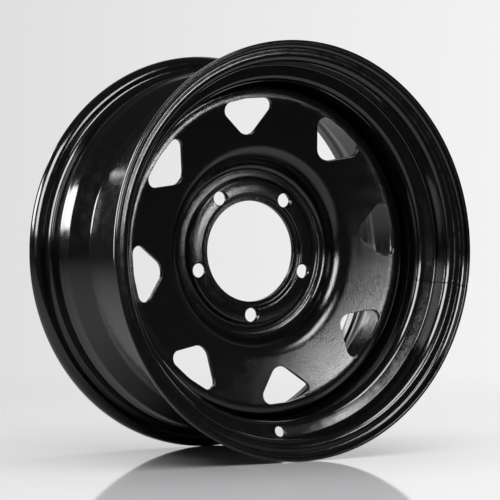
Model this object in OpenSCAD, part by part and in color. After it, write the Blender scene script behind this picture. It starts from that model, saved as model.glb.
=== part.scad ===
// Steel wheel for a light truck: a rolled rim with a pressed, windowed disc
// welded into its well.
// The wheel turns about the Y axis and its outboard side looks along -Y.
// The origin is the centre of the face that seats on the hub.

/* [Rim] */
// Width between the flanges, where the tyre's beads press
rim_width = 177.8; // [166:0.1:230]
// Diameter of the bead seats at the flanges
bead_seat_d = 405.6; // [395:0.1:440]
// Thickness of the rim's sheet
rim_t = 3.5; // [2.5:0.1:4]
// Height of a flange above its bead seat
flange_h = 18.3; // [15:0.1:22]
// How far a flange's lip stands out from its tyre face
flange_overhang = 12.6; // [11:0.1:16]
// Outer radius of the curl at the top of a flange
flange_curl_r = 9.5; // [6:0.1:10]
// Radius between a flange and its bead seat
bead_heel_r = 6.5; // [4:0.1:7]
// Rounding of the rim's cut edges
lip_edge_r = 1.2; // [0.4:0.1:1.2]
// Width of a bead seat, from its flange to the foot of its hump
bead_seat_w = 17; // [14:0.5:22]
// Slope of a bead seat towards the well
bead_taper = 5; // [0:0.5:8]
// Height of the inboard hump, which keeps a bead on its seat
hump_h = 1.5; // [0.6:0.1:2]
// Length of the inboard hump's rise
hump_run = 6; // [5:0.5:8]
// Height of the outboard hump
outboard_hump_h = 2.5; // [1:0.1:3]
// Length of the outboard hump's rise
outboard_hump_run = 8; // [7:0.5:10]
// Rounding of a hump
hump_bend_r = 9; // [6:0.5:12]

/* [Well] */
// Depth of the well's floor under the bead seats
well_depth = 17.8; // [16:0.1:22]
// Reach of the well's floor past the disc's inboard edge
well_past_disc = 19.6; // [12:0.1:22]
// Slope of the well's outboard wall
outboard_wall_angle = 72; // [66:1:76]
// Slope of the well's inboard wall
inboard_wall_angle = 30; // [28:1:40]
// Drop from the inboard hump to the ledge beside it
ledge_drop = 2; // [1:0.1:3]
// Fall of that ledge on its way to the well's wall
ledge_fall = 2; // [1:0.1:3]
// Radius of the bends in and out of the well
well_bend_r = 6; // [5:0.5:8]

/* [Valve] */
// Diameter of the hole for the tyre valve
valve_hole_d = 11.5; // [8:0.1:16]
// Place of the valve hole around the wheel
valve_angle = -91.5; // [-180:0.5:180]
// Place of the valve hole up the well's outboard wall, as a share of the wall
valve_share = 0.42; // [0.4:0.01:0.55]

/* [Disc] */
// Thickness of the disc's plate
disc_t = 5; // [4:0.1:6]
// Distance of the hub face inboard of the rim's middle
hub_inset = 11.5; // [6:0.5:20]
// Height of the disc's face over the hub face, halfway along the windows
face_h = 40.3; // [36:0.1:44]
// Slope of the face, which rises outwards
face_angle = 15; // [11:0.5:17]
// Radius at which the face height is taken
face_r = 150; // [146:0.5:154]
// Radius at which the face levels off, at the outer edge of the windows
margin_r = 167; // [166:0.5:168]
// Slope of the margin outside the windows, which falls outwards
margin_angle = 6; // [4:0.5:8]
// Bend between the face and its margin
margin_bend_r = 25; // [18:1:26]
// Gap between the rim and the shoulder's corner before it is rounded
shoulder_gap = 2.8; // [2.2:0.1:4]
// Rounding of the shoulder
shoulder_bend_r = 6.5; // [5.5:0.5:7.5]
// Height over the hub face at which the disc reaches the rim
land_top_h = 22.5; // [18:0.5:26]
// Height over the hub face of the disc's inboard edge
land_end_h = 4.5; // [2:0.5:8]
// Bend between the disc's outer wall and its land
land_bend_r = 12; // [8:1:16]
// Radius at which the bowl around the hub begins
bowl_r = 88.7; // [88.4:0.1:92]
// Slope of the bowl's wall
bowl_angle = 68; // [62:1:72]
// Bend from the bowl's wall to the face
bowl_bend_r = 25; // [18:1:28]
// Bend from the bowl's wall to the hub
bowl_foot_r = 8.5; // [6:0.5:10]
// Rounding of the disc's cut edges
disc_edge_r = 0.5; // [0.2:0.1:1]

/* [Hub] */
// Diameter of the centre bore
bore_d = 110.4; // [100:0.1:112]
// Diameter of the circle of bolt holes
bolt_circle_d = 139.7; // [137:0.1:142]
// Number of bolt holes
bolt_count = 5; // [4:1:6]
// Diameter of a bolt hole
bolt_hole_d = 15; // [12:0.1:16.5]
// Diameter of a bolt seat at the plate's surface
bolt_seat_d = 18.5; // [17:0.1:20]
// Included angle of a bolt seat's cone
bolt_seat_angle = 90; // [60:1:110]
// Place of the first bolt hole around the wheel
first_bolt_angle = 53.45; // [0:0.05:72]
// Inner radius of the ring that seats on the hub
hub_face_r1 = 81.6; // [80:0.1:82.5]
// Outer radius of the ring that seats on the hub
hub_face_r2 = 86.6; // [85:0.1:87]
// Height of the step around that ring
hub_step_h = 0.9; // [0.3:0.1:1.5]
// Radius at the crest of the raised ring that carries the bolt seats
ridge_r = 62.6; // [61.5:0.1:63.5]
// Height of that crest over the hub face
ridge_h = 11.6; // [10.5:0.1:12.5]
// Slope from the plate around the bore up to that crest
ridge_rise_angle = 68; // [58:1:70]
// Radius at which the ring's top turns down
crown_r = 71; // [70.5:0.1:73]
// Fall of the ring from its crest to that turn
crown_fall = 0.3; // [0.1:0.1:0.6]
// Rounding of that turn
crown_bend_r = 40; // [20:1:60]
// Fall of the ring from its crest to its outer edge
ridge_fall = 1.2; // [0.8:0.1:1.8]
// Slope of the step from the ring's outer edge down to the hub face
ridge_step_angle = 57; // [50:1:62]
// Rounding of the ring's crest and outer edge
crest_bend_r = 3; // [1.5:0.1:3.5]
// Rounding of the bends at the foot of the ring
hub_bend_r = 2; // [1:0.1:2.5]
// Rounding of the small step around the hub face
hub_edge_r = 0.5; // [0.2:0.1:0.8]
// Height of the plate's face at the centre bore, over the hub face
bore_face_h = 7.7; // [7:0.1:8.5]

/* [Windows] */
// Number of windows
window_count = 8; // [6:1:8]
// Place of the first window around the wheel
first_window_angle = 9; // [0:0.5:45]
// Radius of the windows' outer corners before they are rounded
window_corner_r = 162.6; // [158:0.1:164]
// Half the width of a window between those corners
window_half_w = 39.6; // [34:0.1:42]
// Bulge of a window's outer side
window_bulge = 3.4; // [1:0.1:4]
// Radius of a window's inner corner before it is rounded
window_tip_r = 121.2; // [118:0.1:126]
// Rounding of the outer corners
window_corner_bend = 8.6; // [6:0.1:10]
// Rounding of the inner corner
window_tip_bend = 13.9; // [10:0.1:15]

/* [Welds] */
// Number of weld runs between the disc and the rim
weld_count = 8; // [4:1:12]
// Length of a weld run around the wheel
weld_span = 26; // [10:1:28]
// Leg of the welds' section
weld_leg = 4.5; // [3:0.1:5]
// Bulge of the welds' face
weld_belly = 0.4; // [0:0.1:0.8]

/* [Hidden] */
$fn = 96;
// Step of the points along a rounded corner, in degrees
arc_step = 10;
// Share of a straight side that the roundings at its ends may take up
side_share = 0.96;
// Smallest radius on the inner side of a bend
tightest_bend = 1;
// Reach of a cut past the plate
past = 1;

black_gloss = [0.05, 0.05, 0.055];
black_satin = [0.09, 0.09, 0.095];

bead_seat_r = bead_seat_d / 2;
flange_r = bead_seat_r + flange_h;
well_r = bead_seat_r - well_depth;
land_r = well_r - rim_t;
flange_out_y = -hub_inset - rim_width / 2;
flange_in_y = flange_out_y + rim_width;
well_in_y = -land_end_h + well_past_disc;
shoulder_r = land_r - shoulder_gap;
window_pitch = 360 / window_count;

function unit(v) = v / norm(v);
function reverse(list) = [for (i = [len(list) - 1:-1:0]) list[i]];
function left_of(v) = [-v[1], v[0]];
function at(corner) = [corner[0], corner[1]];

// Half of the angle at b between a and c
function half_angle(a, b, c) = acos(max(-1, min(1, unit(a - b) * unit(c - b)))) / 2;

// Arc of radius r that rounds the corner b between a and c
function corner_arc(a, b, c, r) =
    let (
        u = unit(a - b),
        v = unit(c - b),
        half = half_angle(a, b, c),
        centre = b + unit(u + v) * r / sin(half),
        from = b + u * r / tan(half) - centre,
        to = b + v * r / tan(half) - centre,
        start = atan2(from[1], from[0]),
        turn = atan2(from[0] * to[1] - from[1] * to[0], from * to),
        steps = max(2, ceil(abs(turn) / arc_step))
    )
    [for (i = [0:steps]) centre + r * [cos(start + turn * i / steps), sin(start + turn * i / steps)]];

// Closed outline through corners of [x, y, rounding].
// Roundings that meet on one side share its length.
function rounded(corners) =
    let (
        n = len(corners),
        points = [for (c = corners) at(c)],
        reach = [for (i = [0:n - 1])
            corners[i][2] / tan(half_angle(points[(i + n - 1) % n], points[i], points[(i + 1) % n]))],
        room = [for (i = [0:n - 1])
            side_share * norm(points[(i + 1) % n] - points[i]) / max(reach[i] + reach[(i + 1) % n], 0.001)]
    )
    [for (i = [0:n - 1])
        let (r = corners[i][2] * min(1, room[i], room[(i + n - 1) % n]))
        each corner_arc(points[(i + n - 1) % n], points[i], points[(i + 1) % n], r)];

// Corners of the far face of a sheet of thickness t, to the left of its near face.
// A bend is tighter by t on its inner side and wider by t on its outer side.
function far_face(corners, t) =
    let (last = len(corners) - 1)
    [for (i = [0:last])
        let (
            j = max(i, 1),
            k = min(i, last - 1),
            before = unit(at(corners[j]) - at(corners[j - 1])),
            after = unit(at(corners[k + 1]) - at(corners[k])),
            across = unit(left_of(before) + left_of(after)),
            place = at(corners[i]) + across * t / (across * left_of(before)),
            wider = left_of(before) * after > 0 ? -t : t
        )
        [place[0], place[1], max(corners[i][2] + wider, tightest_bend)]];

// Outline of a bent sheet of thickness t from the corners of its near face.
// Its cut edges are rounded by e.
function sheet(corners, t, e) =
    let (
        last = len(corners) - 1,
        far = far_face(corners, t),
        loop = concat(corners, reverse(far))
    )
    rounded([for (i = [0:len(loop) - 1])
        let (is_end = i == 0 || i == last || i == last + 1 || i == 2 * last + 1)
        [loop[i][0], loop[i][1], is_end ? e : loop[i][2]]]);

// Turns a profile of [radius, y] around the wheel's axis
module turned(profile) {
    rotate([-90, 0, 0]) rotate_extrude() polygon(profile);
}

// Places children at an angle around the axis, counted from +X towards +Z,
// with their X axis radial and their Z axis along +Y
module around(angle) {
    rotate([-90, 0, 0]) rotate([0, 0, -angle]) children();
}

// Tyre side of one half of the rim, from the lip to the foot of the hump
seat_end_r = bead_seat_r - bead_seat_w * tan(bead_taper);
function half_rim(flange_y, inwards) = [
    [flange_r, flange_y - inwards * flange_overhang, 0],
    [flange_r, flange_y, flange_curl_r],
    [bead_seat_r, flange_y, bead_heel_r],
    [seat_end_r, flange_y + inwards * bead_seat_w, hump_bend_r]
];

// The outboard hump runs straight into the well's wall.
// The inboard one falls to a sloping ledge first.
hump_r = seat_end_r + hump_h;
outboard_hump_r = seat_end_r + outboard_hump_h;
inboard_hump_y = flange_in_y - bead_seat_w - hump_run;
ledge_top_r = hump_r - ledge_drop;
ledge_foot_r = ledge_top_r - ledge_fall;
outboard_wall_y = flange_out_y + bead_seat_w + outboard_hump_run;
well_out_y = outboard_wall_y + (outboard_hump_r - well_r) / tan(outboard_wall_angle);
inboard_wall_y = well_in_y + (ledge_foot_r - well_r) / tan(inboard_wall_angle);

rim_corners = concat(
    half_rim(flange_out_y, 1),
    [
        [outboard_hump_r, outboard_wall_y, well_bend_r],
        [well_r, well_out_y, well_bend_r],
        [well_r, well_in_y, well_bend_r],
        [ledge_foot_r, inboard_wall_y, well_bend_r],
        [ledge_top_r, inboard_hump_y - hump_run, hump_bend_r],
        [hump_r, inboard_hump_y, hump_bend_r]
    ],
    reverse(half_rim(flange_in_y, -1))
);

// Place of the valve hole on the inner side of the well's outboard wall
valve_r = well_r + valve_share * (outboard_hump_r - well_r) - rim_t * cos(outboard_wall_angle);
valve_y = well_out_y + valve_share * (outboard_wall_y - well_out_y) - rim_t * sin(outboard_wall_angle);

module rim() {
    color(black_gloss) difference() {
        turned(sheet(rim_corners, rim_t, lip_edge_r));
        around(valve_angle) translate([valve_r, 0, valve_y]) rotate([0, 90 - outboard_wall_angle, 0])
            cylinder(d = valve_hole_d, h = 4 * rim_t, center = true);
    }
}

// Outboard side of the disc, from inside the bore to its inboard edge
hub_floor_y = -disc_t;
hub_ledge_y = hub_floor_y - hub_step_h;
ridge_edge_r = hub_face_r1 - (ridge_h - ridge_fall - disc_t) / tan(ridge_step_angle);
ridge_rise = (ridge_h - bore_face_h) / tan(ridge_rise_angle);
function face_y(r) = -face_h - (r - face_r) * tan(face_angle);
function margin_y(r) = face_y(margin_r) + (r - margin_r) * tan(margin_angle);

// Foot of the bowl's wall, before it is rounded,
// and the corner where the wall's line meets the line of the face
bowl_foot = bowl_r + bowl_foot_r * tan(bowl_angle / 2);
bowl_rise = (hub_ledge_y - face_y(bowl_foot)) / (tan(bowl_angle) - tan(face_angle));
bowl_rim_r = bowl_foot + bowl_rise;

disc_corners = [
    [bore_d / 2 - disc_t, -bore_face_h, 0],
    [ridge_r - ridge_rise, -bore_face_h, hub_bend_r],
    [ridge_r, -ridge_h, crest_bend_r],
    [crown_r, -ridge_h + crown_fall, crown_bend_r],
    [ridge_edge_r, -ridge_h + ridge_fall, crest_bend_r],
    [hub_face_r1, hub_floor_y, hub_bend_r],
    [hub_face_r2, hub_floor_y, hub_edge_r],
    [hub_face_r2 + hub_step_h, hub_ledge_y, hub_edge_r],
    [bowl_foot, hub_ledge_y, bowl_foot_r],
    [bowl_rim_r, face_y(bowl_rim_r), bowl_bend_r],
    [margin_r, face_y(margin_r), margin_bend_r],
    [shoulder_r, margin_y(shoulder_r), shoulder_bend_r],
    [land_r, -land_top_h, land_bend_r],
    [land_r, -land_end_h, 0]
];

// Outline of a window: a rounded triangle, X radial
module window_outline() {
    polygon(rounded([
        [window_corner_r, -window_half_w, window_corner_bend],
        [window_corner_r + window_bulge, 0, window_half_w],
        [window_corner_r, window_half_w, window_corner_bend],
        [window_tip_r, 0, window_tip_bend]
    ]));
}

bolt_seat_depth = (bolt_seat_d - bolt_hole_d) / 2 / tan(bolt_seat_angle / 2);
bolt_face_h = ridge_h - crown_fall * (bolt_circle_d / 2 - ridge_r) / (crown_r - ridge_r);

// Bolt hole along Z with its cone opening towards -Z, at the plate's surface
module bolt_hole() {
    translate([0, 0, -bolt_face_h - past])
        cylinder(d = bolt_hole_d, h = bolt_face_h + 2 * past);
    translate([0, 0, -bolt_face_h])
        cylinder(d1 = bolt_seat_d, d2 = bolt_hole_d, h = bolt_seat_depth);
    translate([0, 0, -bolt_face_h - past])
        cylinder(d = bolt_seat_d, h = past);
}

module disc() {
    color(black_satin) difference() {
        turned(sheet(disc_corners, disc_t, disc_edge_r));
        around(0) translate([0, 0, -bore_face_h - past])
            cylinder(d = bore_d, h = bore_face_h + 2 * past);
        for (i = [0:bolt_count - 1])
            around(first_bolt_angle + i * 360 / bolt_count)
                translate([bolt_circle_d / 2, 0, 0]) bolt_hole();
        for (i = [0:window_count - 1])
            around(first_window_angle + i * window_pitch)
                translate([0, 0, -2 * face_h]) linear_extrude(height = 2 * face_h) window_outline();
    }
}

// One weld run, with its section in the corner between the disc's edge and the rim
module weld_run() {
    rotate_extrude(angle = weld_span) polygon([
        [land_r, -land_end_h],
        [land_r, -land_end_h + weld_leg],
        [land_r - weld_leg / 2 - weld_belly, -land_end_h + weld_leg / 2 + weld_belly],
        [land_r - weld_leg, -land_end_h]
    ]);
}

module weld_beads() {
    color(black_satin)
        for (i = [0:weld_count - 1])
            around(first_window_angle + window_pitch / 2 + weld_span / 2 + i * 360 / weld_count)
                weld_run();
}

rim();
disc();
weld_beads();
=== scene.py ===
"""Dresses a packed steel wheel: its rolled rim, pressed disc and weld runs, their paint, and a studio.

Lengths are in millimetres up to the point where a mesh is drawn, and in metres from there on.
Angles around the wheel are in degrees from +X towards +Z, and the outboard side looks along -Y.
"""

from __future__ import annotations

import logging
import math
from dataclasses import dataclass, field
from enum import Enum

import bpy
from mathutils import Matrix, Quaternion, Vector

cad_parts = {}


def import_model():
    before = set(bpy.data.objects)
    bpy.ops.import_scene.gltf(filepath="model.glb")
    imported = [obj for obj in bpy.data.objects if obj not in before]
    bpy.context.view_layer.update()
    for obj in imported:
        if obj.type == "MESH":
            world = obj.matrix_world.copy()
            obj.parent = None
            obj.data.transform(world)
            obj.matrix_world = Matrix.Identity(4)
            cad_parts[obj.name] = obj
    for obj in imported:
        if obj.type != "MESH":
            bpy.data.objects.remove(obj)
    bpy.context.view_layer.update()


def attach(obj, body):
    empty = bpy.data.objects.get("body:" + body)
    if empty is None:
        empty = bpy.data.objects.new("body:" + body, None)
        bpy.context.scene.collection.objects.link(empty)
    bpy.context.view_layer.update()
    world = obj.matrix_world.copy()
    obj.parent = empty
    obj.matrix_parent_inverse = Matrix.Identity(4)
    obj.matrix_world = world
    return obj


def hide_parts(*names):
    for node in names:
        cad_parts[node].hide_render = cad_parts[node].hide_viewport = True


MM = 0.001
BODY = "root"
# Roundings of an outline: degrees in one step, the share of a side that they may take up, half the
# angle in degrees from which a corner counts as straight, and the least values to divide by.
ARC_STEP = 7.0
SIDE_SHARE = 0.96
NEARLY_STRAIGHT = 89.9
LEAST_ANGLE = 1e-6
LEAST_REACH = 0.001
# Least bend on the far face of a sheet, in millimetres.
TIGHTEST_BEND = 1.0
# Rounded edges of holes: the slope in degrees at which they meet the surface, and their steps.
FLARE_START = 15.0
FLARE_STEPS = 4
# Distances in metres within which points merge, along a loop and over a whole mesh.
LOOP_GAP = 0.001 * MM
MESH_GAP = 0.002 * MM
# Watts of an area lamp for each square metre and unit of radiance.
LAMP_WATTS = 4.0
# Sockets of Blender's colour mix.
MIX_SHARE, MIX_FIRST, MIX_SECOND, MIX_RESULT = 0, 6, 7, 2

log = logging.getLogger("wheel")


@dataclass(frozen=True)
class Corner:
    """A corner of a section: its radius, its place along the axis and its rounding, in millimetres."""

    r: float
    y: float
    bend: float = 0.0

    def at(self) -> Vector:
        """Returns the corner's place as a flat vector."""
        return Vector((self.r, self.y))


def corner_arc(before: Vector, corner: Vector, after: Vector, radius: float) -> list[Vector]:
    """Rounds one corner of an outline.

    Args:
        before: The corner that comes before.
        corner: The corner to round.
        after: The corner that comes after.
        radius: Radius of the rounding, in millimetres.

    Returns:
        Points along the rounding, or the corner itself where there is none.
    """
    to_before = (before - corner).normalized()
    to_after = (after - corner).normalized()
    half = to_before.angle(to_after) / 2
    if radius <= 0 or half > math.radians(NEARLY_STRAIGHT):
        return [corner.copy()]
    centre = corner + (to_before + to_after).normalized() * radius / math.sin(half)
    start = corner + to_before * radius / math.tan(half) - centre
    end = corner + to_after * radius / math.tan(half) - centre
    turn = math.atan2(start.x * end.y - start.y * end.x, start.dot(end))
    steps = max(2, math.ceil(abs(turn) / math.radians(ARC_STEP)))
    return [centre + Matrix.Rotation(turn * i / steps, 2) @ start for i in range(steps + 1)]


def rounded(corners: list[Corner]) -> list[Vector]:
    """Draws a closed outline through corners, whose roundings share the side between them.

    Args:
        corners: The outline's corners in order.

    Returns:
        The outline's points.
    """
    count = len(corners)
    points = [corner.at() for corner in corners]
    reach = []
    for i, corner in enumerate(corners):
        angle = (points[i - 1] - points[i]).angle(points[(i + 1) % count] - points[i])
        reach.append(corner.bend / math.tan(max(angle, LEAST_ANGLE) / 2))
    room = []
    for i in range(count):
        side = (points[(i + 1) % count] - points[i]).length
        room.append(SIDE_SHARE * side / max(reach[i] + reach[(i + 1) % count], LEAST_REACH))
    outline: list[Vector] = []
    for i, corner in enumerate(corners):
        radius = corner.bend * min(1, room[i], room[i - 1])
        outline += corner_arc(points[i - 1], points[i], points[(i + 1) % count], radius)
    return outline


def far_face(corners: list[Corner], thickness: float) -> list[Corner]:
    """Finds the far face of a bent sheet, to the left of its near face.

    Args:
        corners: Corners of the near face in order.
        thickness: The sheet's thickness in millimetres.

    Returns:
        Corners of the far face, tighter inside a bend and wider outside it.
    """
    last = len(corners) - 1
    far = []
    for i, corner in enumerate(corners):
        j = max(i, 1)
        k = min(i, last - 1)
        before = (corners[j].at() - corners[j - 1].at()).normalized()
        after = (corners[k + 1].at() - corners[k].at()).normalized()
        left = Vector((-before.y, before.x))
        across = (left + Vector((-after.y, after.x))).normalized()
        place = corner.at() + across * thickness / across.dot(left)
        wider = -thickness if left.dot(after) > 0 else thickness
        far.append(Corner(place.x, place.y, max(corner.bend + wider, TIGHTEST_BEND)))
    return far


def sheet_section(corners: list[Corner], thickness: float, edge: float) -> list[Vector]:
    """Draws the section of a bent sheet from the corners of its near face.

    Args:
        corners: Corners of the near face in order.
        thickness: The sheet's thickness in millimetres.
        edge: Rounding of its two cut edges in millimetres.

    Returns:
        The section's points as a closed outline.
    """
    loop = corners + far_face(corners, thickness)[::-1]
    ends = {0, len(corners) - 1, len(corners), len(loop) - 1}
    return rounded([Corner(c.r, c.y, edge if i in ends else c.bend) for i, c in enumerate(loop)])


def finely(outline: list[Vector], longest: float) -> list[Vector]:
    """Splits the long sides of a closed outline into equal lengths.

    Args:
        outline: The outline's points.
        longest: Greatest length of a side in millimetres.

    Returns:
        The outline with the added points.
    """
    fine = []
    for start, end in zip(outline, outline[1:] + outline[:1]):
        parts = max(1, math.ceil((end - start).length / longest))
        fine += [start.lerp(end, i / parts) for i in range(parts)]
    return fine


def deselect_all() -> None:
    """Leaves nothing selected and no object in edit mode."""
    if bpy.context.object and bpy.context.object.mode != "OBJECT":
        bpy.ops.object.mode_set(mode="OBJECT")
    bpy.ops.object.select_all(action="DESELECT")


def make_active(piece: bpy.types.Object) -> None:
    """Selects one object alone and makes it the active one.

    Args:
        piece: The object.
    """
    deselect_all()
    piece.select_set(True)
    bpy.context.view_layer.objects.active = piece


def begin_point(name: str) -> bpy.types.Object:
    """Adds a plane, merges it to a single point at the origin and stays in edit mode.

    Args:
        name: Name of the new object.

    Returns:
        The new object, in edit mode with its point selected.
    """
    deselect_all()
    bpy.ops.mesh.primitive_plane_add(size=MM, location=(0, 0, 0))
    piece = bpy.context.active_object
    piece.name = name
    piece.data.name = name
    bpy.ops.object.mode_set(mode="EDIT")
    bpy.ops.mesh.select_mode(type="VERT")
    bpy.ops.mesh.select_all(action="SELECT")
    bpy.ops.mesh.merge(type="CENTER")
    return piece


def trace_loop(points: list[Vector]) -> None:
    """Extrudes the selected point, which lies at the origin, around a closed loop.

    Args:
        points: The loop's points in metres.
    """
    bpy.ops.transform.translate(value=points[0])
    for start, end in zip(points, points[1:] + points[:1]):
        bpy.ops.mesh.extrude_vertices_move(TRANSFORM_OT_translate={"value": end - start})


def close_mesh() -> None:
    """Merges doubles over the whole mesh, points its faces outwards and leaves edit mode."""
    bpy.ops.mesh.select_all(action="SELECT")
    bpy.ops.mesh.remove_doubles(threshold=MESH_GAP)
    bpy.ops.mesh.normals_make_consistent(inside=False)
    bpy.ops.object.mode_set(mode="OBJECT")


def lathe(name: str, section: list[Vector], steps: int) -> bpy.types.Object:
    """Spins a closed section about the wheel's axis.

    Args:
        name: Name of the new object.
        section: Points of [radius, y] in millimetres.
        steps: Number of steps around the axis.

    Returns:
        The turned piece.
    """
    piece = begin_point(name)
    trace_loop([Vector((p.x, p.y, 0)) * MM for p in section])
    bpy.ops.mesh.select_all(action="SELECT")
    bpy.ops.mesh.spin(steps=steps, angle=math.tau, center=(0, 0, 0), axis=(0, 1, 0))
    close_mesh()
    return piece


def loft(name: str, loops: list[list[Vector]]) -> bpy.types.Object:
    """Bridges loops of equal count into a closed body, with a face over its first and its last loop.

    Args:
        name: Name of the new object.
        loops: Loops of points in metres, in order from one end to the other.

    Returns:
        The lofted piece.
    """
    rings = []
    for number, loop in enumerate(loops):
        ring = begin_point(f"{name}_{number}")
        trace_loop(loop)
        bpy.ops.mesh.select_all(action="SELECT")
        bpy.ops.mesh.remove_doubles(threshold=LOOP_GAP)
        if number in (0, len(loops) - 1):
            bpy.ops.mesh.edge_face_add()
        rings.append(ring)
    piece = join(name, rings)
    bpy.ops.object.mode_set(mode="EDIT")
    bpy.ops.mesh.select_mode(type="EDGE")
    per_ring = len(loops[0])
    for number in range(len(loops) - 1):
        select_edges(piece, set(range(number * per_ring, (number + 2) * per_ring)))
        bpy.ops.mesh.bridge_edge_loops()
    close_mesh()
    return piece


def select_edges(piece: bpy.types.Object, points: set[int]) -> None:
    """Selects in edit mode the edges that run along loops of points, and no edge between two loops.

    Args:
        piece: The object in edit mode.
        points: Numbers of the points whose edges are selected.
    """
    bpy.ops.mesh.select_all(action="DESELECT")
    bpy.ops.object.mode_set(mode="OBJECT")
    half = len(points) // 2
    first = min(points)
    for edge in piece.data.edges:
        low, high = sorted(edge.vertices)
        same_loop = (low - first) // half == (high - first) // half
        edge.select = low in points and high in points and same_loop
    bpy.ops.object.mode_set(mode="EDIT")


def join(name: str, pieces: list[bpy.types.Object]) -> bpy.types.Object:
    """Joins objects into the first of them and gives it a name.

    Args:
        name: Name of the joined object.
        pieces: Objects to join.

    Returns:
        The joined object, selected and active.
    """
    make_active(pieces[0])
    for piece in pieces:
        piece.select_set(True)
    if len(pieces) > 1:
        bpy.ops.object.join()
    pieces[0].name = name
    pieces[0].data.name = name
    return pieces[0]


def ring_of(first: float, count: int) -> list[float]:
    """Gives the angles of equal steps around the wheel in degrees."""
    return [first + i * 360 / count for i in range(count)]


def around_wheel(piece: bpy.types.Object, angles: list[float]) -> bpy.types.Object:
    """Copies a piece that is modelled at angle 0 to places around the wheel.

    Args:
        piece: The piece, which becomes the first copy.
        angles: Places around the wheel in degrees.

    Returns:
        All the copies as one object at the origin.
    """
    copies = [piece]
    for _ in angles[1:]:
        make_active(piece)
        bpy.ops.object.duplicate(linked=False)
        copies.append(bpy.context.active_object)
    for copy, angle in zip(copies, angles):
        make_active(copy)
        copy.rotation_euler = (0, -math.radians(angle), 0)
        bpy.ops.object.transform_apply(location=False, rotation=True, scale=False)
    return join(piece.name, copies)


def cut_away(piece: bpy.types.Object, cutter: bpy.types.Object) -> None:
    """Cuts one object out of another and deletes the cutter.

    Args:
        piece: The object that is cut.
        cutter: The closed body that is taken out of it.
    """
    cut = piece.modifiers.new("cut", "BOOLEAN")
    cut.operation = "DIFFERENCE"
    cut.solver = "EXACT"
    cut.object = cutter
    make_active(piece)
    bpy.ops.object.modifier_apply(modifier=cut.name)
    make_active(cutter)
    bpy.ops.object.delete()


def smooth_over(piece: bpy.types.Object, crease: float) -> None:
    """Shades a piece smooth up to a crease angle, with the large faces keeping their flatness.

    Args:
        piece: The finished mesh.
        crease: Angle in degrees over which an edge stays sharp.
    """
    make_active(piece)
    bpy.ops.object.shade_smooth_by_angle(angle=math.radians(crease))
    weighted = piece.modifiers.new("weighted", "WEIGHTED_NORMAL")
    weighted.keep_sharp = True
    bpy.ops.object.modifier_apply(modifier=weighted.name)


def edge_flare(radius: float, lead: float) -> list[tuple[float, float]]:
    """Gives the steps of a cutter that leaves a rounded edge around a hole.

    Args:
        radius: Rounding of the hole's edge in millimetres.
        lead: How far the cutter runs on past the plate's surface.

    Returns:
        Pairs of growth of the hole and depth under the surface, from outside to the hole's wall.
    """
    first = math.radians(FLARE_START)
    steps = [first + (math.pi / 2 - first) * i / FLARE_STEPS for i in range(FLARE_STEPS + 1)]
    flare = [(radius * (1 - math.sin(a)), radius * (1 - math.cos(a))) for a in steps]
    grow, depth = flare[0]
    return [(grow + lead * math.cos(first), depth - lead * math.sin(first))] + flare


def hex_colour(code: str) -> tuple[float, float, float, float]:
    """Turns an sRGB hex value to a linear colour.

    Args:
        code: Six hex digits, with or without a leading mark.

    Returns:
        Red, green, blue and alpha.
    """
    digits = code.lstrip("#")
    channels = [int(digits[i : i + 2], 16) / 255 for i in (0, 2, 4)]
    linear = [c / 12.92 if c <= 0.04045 else ((c + 0.055) / 1.055) ** 2.4 for c in channels]
    return (linear[0], linear[1], linear[2], 1.0)


def add_node(
    tree: bpy.types.NodeTree,
    kind: str,
    settings: dict[str, object] | None = None,
    inputs: dict[str | int, object] | None = None,
) -> bpy.types.Node:
    """Adds a node with its settings, and values or links on its sockets.

    Args:
        tree: The node tree.
        kind: Blender's name of the node type.
        settings: Properties to set on the node.
        inputs: Values or output sockets by the name or number of an input.

    Returns:
        The new node.
    """
    node = tree.nodes.new(kind)
    for name, value in (settings or {}).items():
        setattr(node, name, value)
    for name, value in (inputs or {}).items():
        if isinstance(value, bpy.types.NodeSocket):
            tree.links.new(value, node.inputs[name])
        else:
            node.inputs[name].default_value = value
    return node


def new_material(name: str) -> tuple[bpy.types.Material, bpy.types.NodeTree]:
    """Starts a material with an empty node tree.

    Args:
        name: The finish's name.

    Returns:
        The material and its node tree.
    """
    material = bpy.data.materials.new(name)
    material.use_nodes = True
    material.node_tree.nodes.clear()
    return material, material.node_tree


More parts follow.
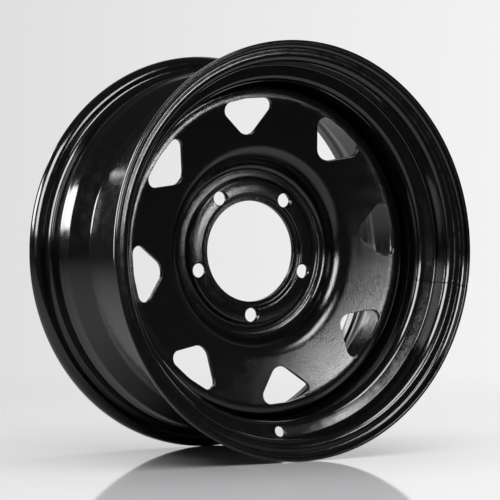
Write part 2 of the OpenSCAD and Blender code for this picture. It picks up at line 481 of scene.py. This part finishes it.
@dataclass(frozen=True)
class PaintFinish:
    """Black stoving paint on steel, whose film shows its flow or its grain in the highlights."""

    name: str
    colour: str
    roughness: float
    roughness_spread: float
    grain_mm: float
    grain_height_mm: float
    wave_mm: float
    wave_height_mm: float
    grain_detail: float = 2.0
    grain_breakup: float = 0.6
    wave_detail: float = 1.0
    wave_low: float = 0.3
    wave_high: float = 0.7
    ior: float = 1.5

    def material(self) -> bpy.types.Material:
        """Builds the paint.

        Returns:
            The material, with its grain and waviness on Object coordinates.
        """
        material, tree = new_material(self.name)
        place = add_node(tree, "ShaderNodeTexCoord").outputs["Object"]
        grain = add_node(
            tree,
            "ShaderNodeTexNoise",
            inputs={
                "Vector": place,
                "Scale": 1 / (self.grain_mm * MM),
                "Detail": self.grain_detail,
                "Roughness": self.grain_breakup,
            },
        )
        wave = add_node(
            tree,
            "ShaderNodeTexNoise",
            inputs={"Vector": place, "Scale": 1 / (self.wave_mm * MM), "Detail": self.wave_detail},
        )
        waviness = add_node(
            tree,
            "ShaderNodeBump",
            inputs={
                "Height": wave.outputs["Fac"],
                "Strength": 1.0,
                "Distance": self.wave_height_mm * MM,
            },
        )
        graininess = add_node(
            tree,
            "ShaderNodeBump",
            inputs={
                "Height": grain.outputs["Fac"],
                "Strength": 1.0,
                "Distance": self.grain_height_mm * MM,
                "Normal": waviness.outputs["Normal"],
            },
        )
        sheen = add_node(
            tree,
            "ShaderNodeMapRange",
            inputs={
                "Value": wave.outputs["Fac"],
                "From Min": self.wave_low,
                "From Max": self.wave_high,
                "To Min": self.roughness - self.roughness_spread,
                "To Max": self.roughness + self.roughness_spread,
            },
        )
        paint = add_node(
            tree,
            "ShaderNodeBsdfPrincipled",
            inputs={
                "Base Color": hex_colour(self.colour),
                "Roughness": sheen.outputs["Result"],
                "IOR": self.ior,
                "Normal": graininess.outputs["Normal"],
            },
        )
        add_node(tree, "ShaderNodeOutputMaterial", inputs={"Surface": paint.outputs["BSDF"]})
        return material


class Finish(Enum):
    """The paints on the wheel."""

    # Sprayed gloss enamel: mirror-like, with the faint orange peel of a thick wet film.
    RIM_GLOSS = PaintFinish(
        name="gloss_black_enamel",
        colour="#0a0a0b",
        roughness=0.13,
        roughness_spread=0.03,
        grain_mm=2.6,
        grain_height_mm=0.012,
        wave_mm=9.0,
        wave_height_mm=0.02,
    )
    # Satin powder coat: a fine grain that breaks highlights into specks.
    # The real grain is about 0.3 mm and is drawn coarser, so that it shows.
    DISC_SATIN = PaintFinish(
        name="satin_black_powder_coat",
        colour="#0d0d0e",
        roughness=0.12,
        roughness_spread=0.03,
        grain_mm=1.5,
        grain_height_mm=0.12,
        wave_mm=14.0,
        wave_height_mm=0.03,
    )
    # Enamel over a weld run, duller where spatter and ripples hold it.
    WELD_ENAMEL = PaintFinish(
        name="black_enamel_on_weld",
        colour="#0c0c0d",
        roughness=0.34,
        roughness_spread=0.06,
        grain_mm=1.8,
        grain_height_mm=0.12,
        wave_mm=6.0,
        wave_height_mm=0.08,
    )


def dress(piece: bpy.types.Object, node: str, finish: Finish) -> None:
    """Paints a finished piece and ties it to the frame.

    Args:
        piece: The finished piece.
        node: The CAD node that it stands for.
        finish: Its paint.
    """
    piece.data.materials.clear()
    piece.data.materials.append(finish.value.material())
    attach(piece, BODY)
    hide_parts(node)


@dataclass
class WheelRim:
    """The rolled rim, a bent sheet with two flanges, bead seats and a drop centre."""

    width: float = 177.8
    bead_seat_r: float = 202.8
    sheet: float = 3.5
    flange_h: float = 18.3
    flange_overhang: float = 12.6
    flange_curl: float = 9.5
    bead_heel: float = 6.5
    lip_edge: float = 1.2
    seat_w: float = 17.0
    seat_taper: float = 5.0
    hump_h: float = 1.5
    hump_run: float = 6.0
    outboard_hump_h: float = 2.5
    outboard_hump_run: float = 8.0
    hump_bend: float = 9.0
    well_depth: float = 17.8
    well_in_y: float = 15.1
    outboard_wall: float = 72.0
    inboard_wall: float = 30.0
    ledge_drop: float = 2.0
    ledge_fall: float = 2.0
    well_bend: float = 6.0
    hub_inset: float = 11.5
    valve_hole_r: float = 5.75
    valve_angle: float = -91.5
    valve_share: float = 0.42
    valve_edge: float = 1.1
    seam_angle: float = -9.5
    seam_half: float = 0.75
    seam_dip: float = 0.25
    seam_cuts: tuple[float, ...] = (-1.0, -0.4, 0.4, 1.0)
    seam_core: float = 0.5
    steps: int = 240
    punch_steps: int = 48
    longest_side: float = 6.0
    crease: float = 30.0

    def __post_init__(self) -> None:
        """Works out the radii and places that follow from the driving sizes."""
        self.flange_r = self.bead_seat_r + self.flange_h
        self.well_r = self.bead_seat_r - self.well_depth
        self.flange_out_y = -self.hub_inset - self.width / 2
        self.flange_in_y = self.flange_out_y + self.width
        self.seat_end_r = self.bead_seat_r - self.seat_w * math.tan(math.radians(self.seat_taper))
        self.hump_r = self.seat_end_r + self.hump_h
        self.wall_top_r = self.seat_end_r + self.outboard_hump_h
        self.outboard_wall_y = self.flange_out_y + self.seat_w + self.outboard_hump_run
        wall_run = (self.wall_top_r - self.well_r) / math.tan(math.radians(self.outboard_wall))
        self.well_out_y = self.outboard_wall_y + wall_run

    def half(self, flange_y: float, inwards: float) -> list[Corner]:
        """Gives the tyre side of one half of the rim, from its lip to the foot of its hump.

        Args:
            flange_y: Place of the flange's tyre face along the axis.
            inwards: 1 where the wheel's middle lies towards +Y, and -1 where it lies towards -Y.

        Returns:
            The half's corners.
        """
        return [
            Corner(self.flange_r, flange_y - inwards * self.flange_overhang),
            Corner(self.flange_r, flange_y, self.flange_curl),
            Corner(self.bead_seat_r, flange_y, self.bead_heel),
            Corner(self.seat_end_r, flange_y + inwards * self.seat_w, self.hump_bend),
        ]

    def corners(self) -> list[Corner]:
        """Gives the corners of the rim's tyre side.

        Returns:
            The corners in order from the outboard lip to the inboard one.
        """
        ledge_top_r = self.hump_r - self.ledge_drop
        ledge_foot_r = ledge_top_r - self.ledge_fall
        hump_y = self.flange_in_y - self.seat_w - self.hump_run
        wall_run = (ledge_foot_r - self.well_r) / math.tan(math.radians(self.inboard_wall))
        well = [
            Corner(self.wall_top_r, self.outboard_wall_y, self.well_bend),
            Corner(self.well_r, self.well_out_y, self.well_bend),
            Corner(self.well_r, self.well_in_y, self.well_bend),
            Corner(ledge_foot_r, self.well_in_y + wall_run, self.well_bend),
            Corner(ledge_top_r, hump_y - self.hump_run, self.hump_bend),
            Corner(self.hump_r, hump_y, self.hump_bend),
        ]
        return self.half(self.flange_out_y, 1) + well + self.half(self.flange_in_y, -1)[::-1]

    def build(self) -> bpy.types.Object:
        """Turns the rim, presses its butt weld flat, pierces the valve hole and dresses it.

        Returns:
            The dressed rim.
        """
        section = finely(sheet_section(self.corners(), self.sheet, self.lip_edge), self.longest_side)
        rim = lathe("wheel_rim", section, self.steps)
        self.press_seam(rim)
        cut_away(rim, self.valve_cutter())
        smooth_over(rim, self.crease)
        dress(rim, "rim", Finish.RIM_GLOSS)
        return rim

    def press_seam(self, rim: bpy.types.Object) -> None:
        """Leaves the shallow dip of the dressed butt weld across the rim's sheet.

        Args:
            rim: The turned rim.
        """
        make_active(rim)
        bpy.ops.object.mode_set(mode="EDIT")
        for share in self.seam_cuts:
            angle = math.radians(self.seam_angle + share * self.seam_half)
            bpy.ops.mesh.select_all(action="SELECT")
            bpy.ops.mesh.bisect(
                plane_co=(0, 0, 0),
                plane_no=(-math.sin(angle), 0, math.cos(angle)),
                clear_inner=False,
                clear_outer=False,
            )
        bpy.ops.mesh.select_all(action="DESELECT")
        bpy.ops.object.mode_set(mode="OBJECT")
        for point in rim.data.vertices:
            off = math.degrees(math.atan2(point.co.z, point.co.x)) - self.seam_angle
            point.select = abs(off) < self.seam_core * self.seam_half
        bpy.ops.object.mode_set(mode="EDIT")
        bpy.ops.mesh.select_mode(type="VERT")
        dip = 1 - self.seam_dip / self.bead_seat_r
        bpy.ops.transform.resize(value=(dip, 1, dip), center_override=(0, 0, 0))
        bpy.ops.object.mode_set(mode="OBJECT")

    def valve_cutter(self) -> bpy.types.Object:
        """Turns the punch of the valve hole, which flares at both faces of the sheet.

        Returns:
            The cutter at its place.
        """
        past = 1.6 * self.sheet
        lead = 0.8
        flare = edge_flare(self.valve_edge, lead)
        outside = [(self.valve_hole_r + g, d - self.sheet / 2) for g, d in flare]
        inside = [(r, -y) for r, y in outside[::-1]]
        widest = outside[0][0]
        section = [(0.0, -past), (widest, -past)] + outside + inside + [(widest, past), (0.0, past)]
        cutter = lathe("valve_punch", [Vector(p) for p in section], self.punch_steps)
        slope = math.radians(self.outboard_wall)
        up = self.valve_share * (self.wall_top_r - self.well_r)
        middle_r = self.well_r + up - self.sheet / 2 * math.cos(slope)
        middle_y = self.well_out_y - up / math.tan(slope) - self.sheet / 2 * math.sin(slope)
        make_active(cutter)
        cutter.rotation_euler = (0, 0, slope - math.pi / 2)
        cutter.location = (middle_r * MM, middle_y * MM, 0)
        bpy.ops.object.transform_apply(location=True, rotation=True, scale=False)
        return around_wheel(cutter, [self.valve_angle])


@dataclass
class WheelDisc:
    """The pressed disc: bolt ring, bowl, sloping face with windows, and the land welded in the rim."""

    plate: float = 5.0
    land_r: float = 181.5
    face_h: float = 40.3
    face_angle: float = 15.0
    face_r: float = 150.0
    margin_r: float = 167.0
    margin_angle: float = 6.0
    margin_bend: float = 25.0
    shoulder_gap: float = 2.8
    shoulder_bend: float = 6.5
    land_top_h: float = 22.5
    land_end_h: float = 4.5
    land_bend: float = 12.0
    bowl_angle: float = 68.0
    bowl_bend: float = 25.0
    bowl_foot_bend: float = 8.5
    cut_edge: float = 0.5
    bore_r: float = 55.2
    bore_face_h: float = 7.7
    bolt_circle_r: float = 69.85
    bolt_count: int = 5
    bolt_hole_r: float = 7.5
    bolt_seat_r: float = 9.25
    bolt_edge: float = 0.5
    first_bolt: float = 53.45
    hub_face_r1: float = 81.6
    hub_face_r2: float = 86.6
    hub_step_h: float = 0.9
    ridge_r: float = 62.6
    ridge_h: float = 11.6
    ridge_rise: float = 68.0
    ridge_fall: float = 1.2
    ridge_step: float = 57.0
    crown_r: float = 71.0
    crown_fall: float = 0.3
    crown_bend: float = 40.0
    crest_bend: float = 3.0
    hub_bend: float = 2.0
    bowl_r: float = 88.7
    hub_edge: float = 0.5
    window_count: int = 8
    first_window: float = 9.0
    window_corner_r: float = 162.6
    window_half_w: float = 39.6
    window_bulge: float = 3.4
    window_tip_r: float = 121.2
    window_corner_bend: float = 8.6
    window_tip_bend: float = 13.9
    window_front_edge: float = 1.1
    window_back_edge: float = 0.6
    steps: int = 240
    bolt_steps: int = 64
    longest_side: float = 3.5
    crease: float = 32.0

    def face_y(self, r: float) -> float:
        """Gives the height of the sloping face at a radius."""
        return -self.face_h - (r - self.face_r) * math.tan(math.radians(self.face_angle))

    def margin_y(self, r: float) -> float:
        """Gives the height of the margin outside the windows at a radius."""
        slope = math.tan(math.radians(self.margin_angle))
        return self.face_y(self.margin_r) + (r - self.margin_r) * slope

    def ridge_edge_r(self) -> float:
        """Gives the outer radius of the raised bolt ring."""
        drop = self.ridge_h - self.ridge_fall - self.plate
        return self.hub_face_r1 - drop / math.tan(math.radians(self.ridge_step))

    def corners(self) -> list[Corner]:
        """Gives the corners of the disc's outboard side.

        Returns:
            The corners in order from the bore to the inboard edge.
        """
        floor_y = -self.plate
        ledge_y = floor_y - self.hub_step_h
        bowl = math.radians(self.bowl_angle)
        foot_r = self.bowl_r + self.bowl_foot_bend * math.tan(bowl / 2)
        steeper = math.tan(bowl) - math.tan(math.radians(self.face_angle))
        brow_r = foot_r + (ledge_y - self.face_y(foot_r)) / steeper
        shoulder_r = self.land_r - self.shoulder_gap
        rise_run = (self.ridge_h - self.bore_face_h) / math.tan(math.radians(self.ridge_rise))
        return [
            Corner(self.bore_r, -self.bore_face_h),
            Corner(self.ridge_r - rise_run, -self.bore_face_h, self.hub_bend),
            Corner(self.ridge_r, -self.ridge_h, self.crest_bend),
            Corner(self.crown_r, -self.ridge_h + self.crown_fall, self.crown_bend),
            Corner(self.ridge_edge_r(), -self.ridge_h + self.ridge_fall, self.crest_bend),
            Corner(self.hub_face_r1, floor_y, self.hub_bend),
            Corner(self.hub_face_r2, floor_y, self.hub_edge),
            Corner(self.hub_face_r2 + self.hub_step_h, ledge_y, self.hub_edge),
            Corner(foot_r, ledge_y, self.bowl_foot_bend),
            Corner(brow_r, self.face_y(brow_r), self.bowl_bend),
            Corner(self.margin_r, self.face_y(self.margin_r), self.margin_bend),
            Corner(shoulder_r, self.margin_y(shoulder_r), self.shoulder_bend),
            Corner(self.land_r, -self.land_top_h, self.land_bend),
            Corner(self.land_r, -self.land_end_h),
        ]

    def build(self) -> bpy.types.Object:
        """Turns the disc, punches its windows and bolt holes and dresses it.

        Returns:
            The dressed disc.
        """
        section = finely(sheet_section(self.corners(), self.plate, self.cut_edge), self.longest_side)
        disc = lathe("wheel_disc", section, self.steps)
        windows = ring_of(self.first_window, self.window_count)
        bolts = ring_of(self.first_bolt, self.bolt_count)
        cut_away(disc, around_wheel(self.window_cutter(), windows))
        cut_away(disc, around_wheel(self.bolt_cutter(), bolts))
        smooth_over(disc, self.crease)
        dress(disc, "disc", Finish.DISC_SATIN)
        return disc

    def window_loop(self, grow: float, depth: float) -> list[Vector]:
        """Draws a window's outline on a cone beside the sloping face.

        Args:
            grow: How far the outline is moved outwards.
            depth: How far the cone lies under the face.

        Returns:
            The outline's points in metres.
        """
        outline = finely(
            rounded(
                [
                    Corner(self.window_corner_r, -self.window_half_w, self.window_corner_bend),
                    Corner(self.window_corner_r + self.window_bulge, 0, self.window_half_w),
                    Corner(self.window_corner_r, self.window_half_w, self.window_corner_bend),
                    Corner(self.window_tip_r, 0, self.window_tip_bend),
                ]
            ),
            self.longest_side,
        )
        down = depth / math.cos(math.radians(self.face_angle))
        loop = []
        for i, point in enumerate(outline):
            along = outline[(i + 1) % len(outline)] - outline[i - 1]
            out = Vector((along.y, -along.x)).normalized()
            r, side = point + out * grow
            loop.append(Vector((r, self.face_y(math.hypot(r, side)) + down, side)) * MM)
        return loop

    def window_cutter(self) -> bpy.types.Object:
        """Lofts the punch of one window, with the roll-over that it leaves at the front edge.

        Returns:
            The cutter at angle 0.
        """
        past = 9.0
        lead = 2.5
        front = edge_flare(self.window_front_edge, lead)
        back = [(g, self.plate - d) for g, d in edge_flare(self.window_back_edge, lead)[::-1]]
        steps = [(front[0][0], -past)] + front + back + [(back[-1][0], self.plate + past)]
        return loft("window_punch", [self.window_loop(g, d) for g, d in steps])

    def bolt_cutter(self) -> bpy.types.Object:
        """Turns the cutter of one bolt hole with its conical seat.

        Returns:
            The cutter at angle 0.
        """
        fall = self.crown_fall / (self.crown_r - self.ridge_r)
        face_y = -self.ridge_h + fall * (self.bolt_circle_r - self.ridge_r)
        past = 8.0
        lead = 2.0
        above = 3.0
        seat_depth = self.bolt_seat_r - self.bolt_hole_r
        back_y = face_y + self.plate
        back = [(self.bolt_hole_r + g, back_y - d) for g, d in edge_flare(self.bolt_edge, lead)[::-1]]
        section = [
            (0.0, face_y - past),
            (self.bolt_seat_r + above, face_y - past),
            (self.bolt_seat_r + above, face_y - above),
            (self.bolt_hole_r + self.bolt_edge, face_y + seat_depth - self.bolt_edge),
            (self.bolt_hole_r, face_y + seat_depth + self.bolt_edge),
            *back,
            (back[-1][0], back_y + past),
            (0.0, back_y + past),
        ]
        cutter = lathe("bolt_seat_cutter", [Vector(p) for p in section], self.bolt_steps)
        make_active(cutter)
        cutter.location = (self.bolt_circle_r * MM, 0, 0)
        bpy.ops.object.transform_apply(location=True, rotation=False, scale=False)
        return cutter


@dataclass
class WeldRuns:
    """The fillet welds that hold the disc's inboard edge in the rim."""

    land_r: float = 181.5
    land_end_h: float = 4.5
    count: int = 8
    span: float = 26.0
    leg: float = 4.5
    belly: float = 0.4
    middle: float = 31.5
    ripple: float = 0.16
    ripple_pitch: float = 2.4
    ripple_steps: int = 4
    crescent: float = 0.9
    end_size: float = 0.55
    end_run: float = 3.0
    across: int = 8
    crease: float = 50.0

    def build(self) -> bpy.types.Object:
        """Lays one rippled run, copies it around the wheel, and joins and dresses the copies.

        Returns:
            All the weld runs as one dressed object.
        """
        length = math.radians(self.span) * self.land_r
        count = round(length / self.ripple_pitch) * self.ripple_steps
        loops = []
        for i in range(count + 1):
            along = length * (i / count - 0.5)
            near_end = min(1.0, (length / 2 - abs(along)) / self.end_run)
            size = self.end_size + (1 - self.end_size) * math.sin(near_end * math.pi / 2)
            loops.append(self.bead_loop(along, size, i % self.ripple_steps / self.ripple_steps))
        run = loft("weld_runs", loops)
        runs = around_wheel(run, ring_of(self.middle, self.count))
        smooth_over(runs, self.crease)
        dress(runs, "weld_beads", Finish.WELD_ENAMEL)
        return runs

    def bead_loop(self, along: float, size: float, swell: float) -> list[Vector]:
        """Draws the weld's section at one place of the run.

        Args:
            along: Distance from the run's middle in millimetres.
            size: Share of the full leg.
            swell: Share of a ripple's height.

        Returns:
            The section's points in metres, from the root over the face between the two toes.
        """
        leg = self.leg * size
        bulge = math.sqrt(2) * self.belly * size + self.ripple * swell
        root_y = -self.land_end_h
        places = [(self.land_r, root_y, 0.0)]
        for i in range(self.across + 1):
            share = 2 * i / self.across - 1
            out = bulge * (1 - share * share) / math.sqrt(2)
            r = self.land_r - leg * (1 + share) / 2 - out
            y = root_y + leg * (1 - share) / 2 + out
            places.append((r, y, self.crescent * (1 - share * share)))
        loop = []
        for r, y, lead in places:
            angle = (along + lead) / self.land_r
            loop.append(Vector((r * math.cos(angle), y, r * math.sin(angle))) * MM)
        return loop


class LampShape(Enum):
    """The outlines of the studio lamps, as Blender names them."""

    BOX = "RECTANGLE"
    ROUND = "ELLIPSE"


def direction(azimuth: float, elevation: float) -> Vector:
    """Gives a direction in the studio.

    Args:
        azimuth: Degrees from +Y towards +X.
        elevation: Degrees above the level.

    Returns:
        A vector of length 1.
    """
    turn = math.radians(azimuth)
    rise = math.radians(elevation)
    level = math.cos(rise)
    return Vector((math.sin(turn) * level, math.cos(turn) * level, math.sin(rise)))


def hang_lamp(
    name: str,
    place: Vector,
    shape: LampShape,
    size: tuple[float, float],
    radiance: float,
) -> bpy.types.Object:
    """Hangs an area lamp that looks straight down and that the camera doesn't see.

    Args:
        name: The lamp's name.
        place: Its place in metres.
        shape: Its outline.
        size: Its width and its height in metres.
        radiance: Its radiance, where 1 is white.

    Returns:
        The lamp.
    """
    deselect_all()
    bpy.ops.object.light_add(type="AREA", location=place)
    lamp = bpy.context.active_object
    lamp.name = name
    lamp.data.shape = shape.value
    lamp.data.size, lamp.data.size_y = size
    fill = math.pi / 4 if shape is LampShape.ROUND else 1.0
    lamp.data.energy = LAMP_WATTS * fill * size[0] * size[1] * radiance
    lamp.visible_camera = False
    return lamp


@dataclass(frozen=True)
class Softbox:
    """A studio lamp that looks at the wheel and shows as a reflection in its paint."""

    name: str
    azimuth: float
    elevation: float
    distance: float
    width: float
    height: float
    radiance: float
    shape: LampShape = LampShape.BOX
    roll: float = 0.0

    def build(self, lit: bpy.types.Collection) -> None:
        """Places the lamp and turns it to the wheel.

        Args:
            lit: The pieces that the lamp is mirrored in.
        """
        towards = direction(self.azimuth, self.elevation)
        size = (self.width, self.height)
        lamp = hang_lamp(self.name, towards * self.distance, self.shape, size, self.radiance)
        turn = Quaternion((0, 0, 1), math.radians(self.roll))
        lamp.rotation_euler = (towards.to_track_quat("Z", "Y") @ turn).to_euler()
        lamp.visible_diffuse = False
        lamp.light_linking.receiver_collection = lit


@dataclass
class Studio:
    """The pale floor, the light and the camera."""

    floor_z: float = -0.2211
    floor_colour: str = "#d8d8da"
    floor_roughness: float = 0.05
    floor_ior: float = 1.45
    floor_size: float = 30.0
    floor_front: float = 0.48
    floor_near: float = 0.55
    floor_far: float = 1.6
    pale_left: str = "#dfdfe0"
    pale_right: str = "#f4f4f4"
    pale_left_until: float = 0.40
    pale_right_from: float = 0.64
    dark: str = "#4a4a4c"
    dark_until: float = 0.75
    pale_from: float = 0.92
    camera_at: tuple[float, float, float] = (-1.09523, -1.79512, -0.00572)
    heading: float = 31.468
    tilt: float = 0.188
    lens: float = 137.79
    sensor: float = 36.0
    softboxes: list[Softbox] = field(
        default_factory=lambda: [
            Softbox("left_softbox", -114, 26, 1.7, width=0.85, height=1.2, radiance=13.0),
            Softbox(
                "front_strip",
                158.3,
                7.5,
                0.98,
                width=0.26,
                height=0.085,
                radiance=21.0,
                shape=LampShape.ROUND,
                roll=45.0,
            ),
            Softbox("top_softbox", 176, 32, 1.5, width=0.7, height=0.4, radiance=11.0),
            Softbox("rear_softbox", -58, 17, 1.7, width=0.95, height=0.5, radiance=14.0),
            Softbox("back_softbox", -14, 12, 1.7, width=0.45, height=0.8, radiance=5.0),
            Softbox("right_softbox", 52, 44, 1.7, width=0.5, height=0.6, radiance=1.5),
        ]
    )
    ceiling_at: tuple[float, float, float] = (-0.3, -0.9, 2.6)
    ceiling_size: float = 4.0
    ceiling_radiance: float = 2.6

    def build(self, pieces: list[bpy.types.Object]) -> None:
        """Lays the floor, hangs the lamps and sets up the camera.

        Args:
            pieces: The wheel's pieces, which mirror the softboxes.
        """
        self.lay_floor()
        lit = bpy.data.collections.new("lit_wheel")
        for piece in pieces:
            lit.objects.link(piece)
        for softbox in self.softboxes:
            softbox.build(lit)
        self.hang_ceiling()
        self.paint_world()
        self.place_camera()
        bpy.context.scene.view_settings.view_transform = "Standard"

    def lay_floor(self) -> None:
        """Lays the pale glossy sheet, which ends in front of the wheel and fades away around it."""
        middle = self.floor_size / 2 - self.floor_front
        deselect_all()
        bpy.ops.mesh.primitive_plane_add(size=self.floor_size, location=(0, middle, self.floor_z))
        bpy.ops.object.transform_apply(location=True, rotation=True, scale=True)
        floor = bpy.context.active_object
        floor.name = "studio_floor"
        material, tree = new_material("glossy_white_sheet")
        board = add_node(
            tree,
            "ShaderNodeBsdfPrincipled",
            inputs={
                "Base Color": hex_colour(self.floor_colour),
                "Roughness": self.floor_roughness,
                "IOR": self.floor_ior,
            },
        )
        place = add_node(tree, "ShaderNodeTexCoord").outputs["Object"]
        away = add_node(tree, "ShaderNodeVectorMath", {"operation": "LENGTH"}, {0: place})
        far = add_node(
            tree,
            "ShaderNodeMapRange",
            {"interpolation_type": "SMOOTHSTEP"},
            {"Value": away.outputs["Value"], "From Min": self.floor_near, "From Max": self.floor_far},
        )
        seen = add_node(tree, "ShaderNodeLightPath").outputs["Is Camera Ray"]
        fade = add_node(
            tree,
            "ShaderNodeMath",
            {"operation": "MULTIPLY"},
            {0: far.outputs["Result"], 1: seen},
        )
        clear = add_node(tree, "ShaderNodeBsdfTransparent")
        shown = add_node(
            tree,
            "ShaderNodeMixShader",
            inputs={0: fade.outputs[0], 1: board.outputs["BSDF"], 2: clear.outputs["BSDF"]},
        )
        add_node(tree, "ShaderNodeOutputMaterial", inputs={"Surface": shown.outputs["Shader"]})
        floor.data.materials.append(material)

    def hang_ceiling(self) -> None:
        """Hangs a wide lamp that lights the floor and isn't mirrored in the paint."""
        size = (self.ceiling_size, self.ceiling_size)
        place = Vector(self.ceiling_at)
        lamp = hang_lamp("ceiling_light", place, LampShape.BOX, size, self.ceiling_radiance)
        lamp.visible_glossy = False

    def paint_world(self) -> None:
        """Gives the room: pale behind the wheel, dark in front of it, and pale to the camera."""
        world = bpy.data.worlds.new("studio_room")
        world.use_nodes = True
        bpy.context.scene.world = world
        tree = world.node_tree
        tree.nodes.clear()
        view = add_node(tree, "ShaderNodeTexCoord").outputs["Generated"]
        axes = add_node(tree, "ShaderNodeSeparateXYZ", inputs={"Vector": view})
        ahead = direction(self.heading, 0)
        facing = add_node(
            tree,
            "ShaderNodeVectorMath",
            {"operation": "DOT_PRODUCT"},
            {0: view, 1: ahead},
        )
        behind = add_node(
            tree,
            "ShaderNodeMapRange",
            {"interpolation_type": "SMOOTHSTEP"},
            {"Value": facing.outputs["Value"], "From Min": self.dark_until, "From Max": self.pale_from},
        )
        across = add_node(
            tree,
            "ShaderNodeMapRange",
            inputs={
                "Value": axes.outputs["X"],
                "From Min": self.pale_left_until,
                "From Max": self.pale_right_from,
            },
        )
        backdrop = add_node(
            tree,
            "ShaderNodeMix",
            {"data_type": "RGBA"},
            {
                MIX_SHARE: across.outputs["Result"],
                MIX_FIRST: hex_colour(self.pale_left),
                MIX_SECOND: hex_colour(self.pale_right),
            },
        ).outputs[MIX_RESULT]
        room = add_node(
            tree,
            "ShaderNodeMix",
            {"data_type": "RGBA"},
            {
                MIX_SHARE: behind.outputs["Result"],
                MIX_FIRST: hex_colour(self.dark),
                MIX_SECOND: backdrop,
            },
        ).outputs[MIX_RESULT]
        seen = add_node(tree, "ShaderNodeLightPath").outputs["Is Camera Ray"]
        shown = add_node(
            tree,
            "ShaderNodeMix",
            {"data_type": "RGBA"},
            {MIX_SHARE: seen, MIX_FIRST: room, MIX_SECOND: backdrop},
        ).outputs[MIX_RESULT]
        light = add_node(tree, "ShaderNodeBackground", inputs={"Color": shown, "Strength": 1.0})
        add_node(tree, "ShaderNodeOutputWorld", inputs={"Surface": light.outputs["Background"]})

    def place_camera(self) -> None:
        """Puts the camera where the photograph was taken from."""
        forward = direction(self.heading, self.tilt)
        deselect_all()
        bpy.ops.object.camera_add(location=self.camera_at)
        camera = bpy.context.active_object
        camera.name = "photo_camera"
        camera.rotation_euler = forward.to_track_quat("-Z", "Y").to_euler()
        camera.data.lens = self.lens
        camera.data.sensor_width = self.sensor
        bpy.context.scene.camera = camera


def main() -> None:
    """Builds the wheel's pieces and the studio."""
    logging.basicConfig(level=logging.INFO, format="%(name)s: %(message)s")
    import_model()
    pieces = [WheelRim().build(), WheelDisc().build(), WeldRuns().build()]
    for piece in pieces:
        log.info("%s: %d faces, %s", piece.name, len(piece.data.polygons), piece.active_material.name)
    Studio().build(pieces)


if __name__ == "__main__":
    main()
